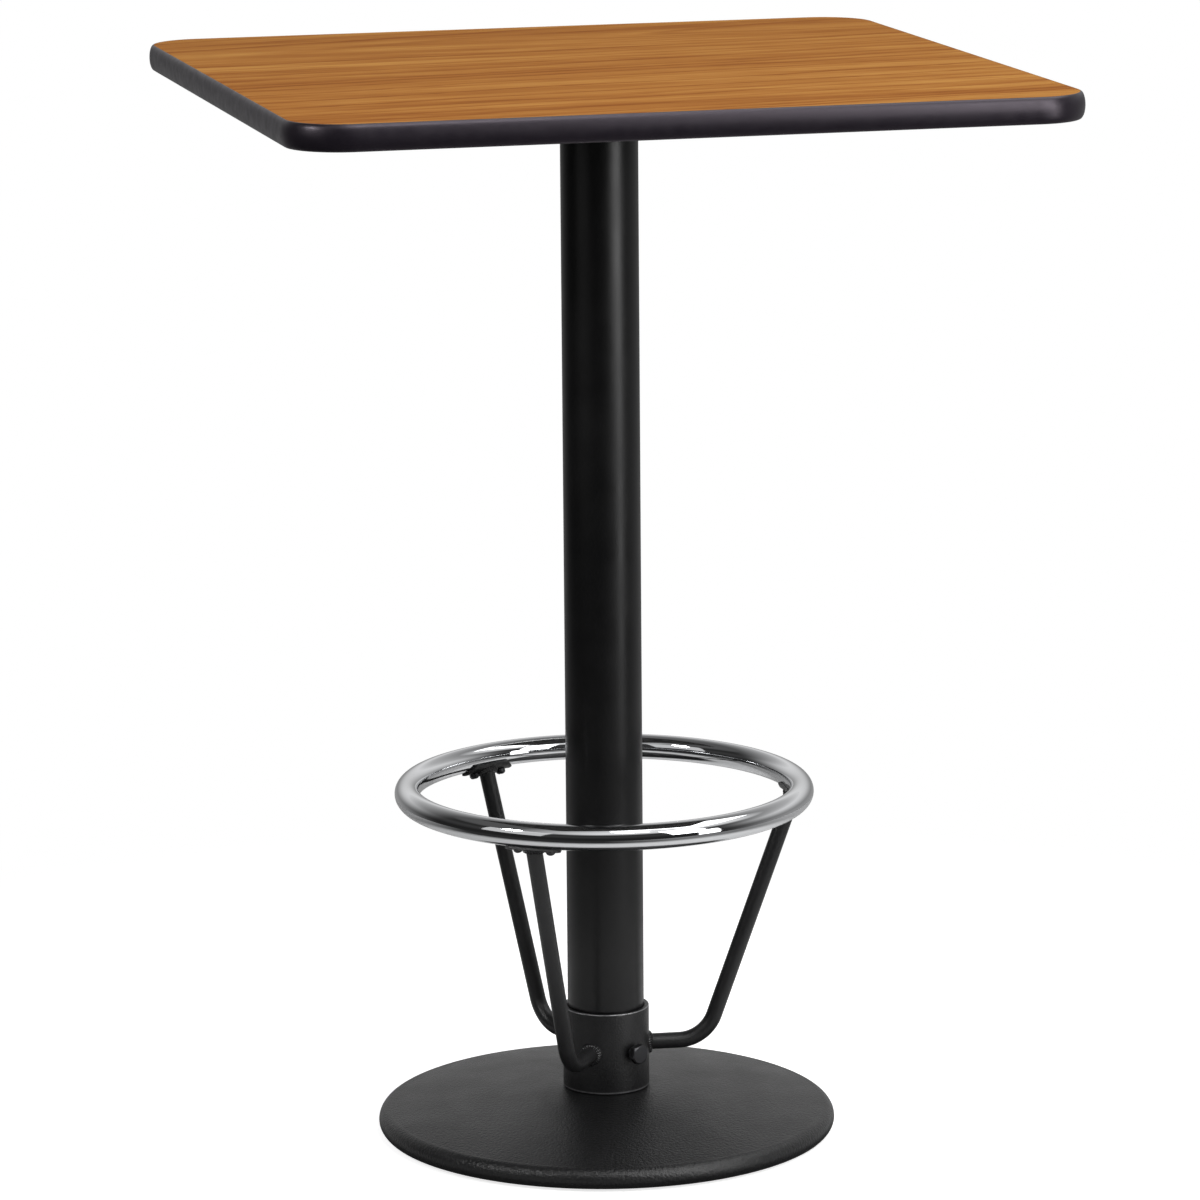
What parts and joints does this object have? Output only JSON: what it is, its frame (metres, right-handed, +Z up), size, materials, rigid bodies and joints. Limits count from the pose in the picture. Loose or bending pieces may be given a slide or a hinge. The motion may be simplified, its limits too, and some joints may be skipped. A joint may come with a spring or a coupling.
{
  "type": "pub table",
  "caption": "Square bar-height pub table: wood-grain laminate top with a convex black edge on a round column and domed base, with a chrome foot ring on a sliding clamp collar.",
  "frame": {"origin": "on the floor, on the column's axis", "axes": "+Z up; the top's edges lie along X and Y and its grain runs along X; -Y is the front"},
  "size_m": [0.762, 0.762, 1.0668],
  "materials": {
    "wood_laminate": "wood-grain laminate, satin, grain along X",
    "board_core": "raw particle board",
    "backer": "black balancing sheet, matt",
    "edge_vinyl": "black extruded vinyl, satin",
    "cast_black": "cast iron under a fine-textured black powder coat",
    "black_powder_coat": "black powder coat on steel, satin",
    "weld_metal": "weld bead under black powder coat",
    "chrome": "polished chrome plate",
    "black_hardware": "black oxide steel",
    "zinc_steel": "bright zinc plate",
    "glide_nylon": "black nylon"
  },
  "bodies": {
    "table": {"top_core": "board_core", "top_laminate": "wood_laminate", "backer_sheet": "backer", "edge_moulding": "edge_vinyl", "mounting_spider": "cast_black", "spider_screws": "zinc_steel", "column_tube": "black_powder_coat", "tie_rod": "zinc_steel", "tie_rod_top_washer": "zinc_steel", "tie_rod_top_nut": "zinc_steel", "tie_rod_bottom_washer": "zinc_steel", "tie_rod_bottom_nut": "zinc_steel", "base_disc": "cast_black"},
    "foot_ring": {"clamp_collar": "black_powder_coat", "collar_welds": "weld_metal", "support_rod_1": "black_powder_coat", "support_rod_2": "black_powder_coat", "support_rod_3": "black_powder_coat", "saddle_welds": "weld_metal", "ring_saddle_1": "black_powder_coat", "ring_saddle_2": "black_powder_coat", "ring_saddle_3": "black_powder_coat", "saddle_screws": "black_hardware", "foot_ring_tube": "chrome"},
    "set_bolt_1": {"clamp_bolt_1": "black_hardware"},
    "set_bolt_2": {"clamp_bolt_2": "black_hardware"},
    "glide_1": {"glide_stud_1": "zinc_steel", "glide_foot_1": "glide_nylon"},
    "glide_2": {"glide_stud_2": "zinc_steel", "glide_foot_2": "glide_nylon"},
    "glide_3": {"glide_stud_3": "zinc_steel", "glide_foot_3": "glide_nylon"},
    "glide_4": {"glide_stud_4": "zinc_steel", "glide_foot_4": "glide_nylon"}
  },
  "joints": [
    {"name": "foot_ring_height", "type": "slide", "parent": "table", "child": "foot_ring", "axis": [0, 0, 1], "range_m": [0, 0.675]},
    {"name": "set_bolt_1_slack", "type": "slide", "parent": "foot_ring", "child": "set_bolt_1", "axis": [0.5835, 0.8121, 0], "range_m": [0, 0.003]},
    {"name": "set_bolt_2_slack", "type": "slide", "parent": "foot_ring", "child": "set_bolt_2", "axis": [0.4115, -0.9114, 0], "range_m": [0, 0.003]},
    {"name": "glide_1_level", "type": "slide", "parent": "table", "child": "glide_1", "axis": [0, 0, -1], "range_m": [0, 0.008]},
    {"name": "glide_2_level", "type": "slide", "parent": "table", "child": "glide_2", "axis": [0, 0, -1], "range_m": [0, 0.008]},
    {"name": "glide_3_level", "type": "slide", "parent": "table", "child": "glide_3", "axis": [0, 0, -1], "range_m": [0, 0.008]},
    {"name": "glide_4_level", "type": "slide", "parent": "table", "child": "glide_4", "axis": [0, 0, -1], "range_m": [0, 0.008]}
  ]
}
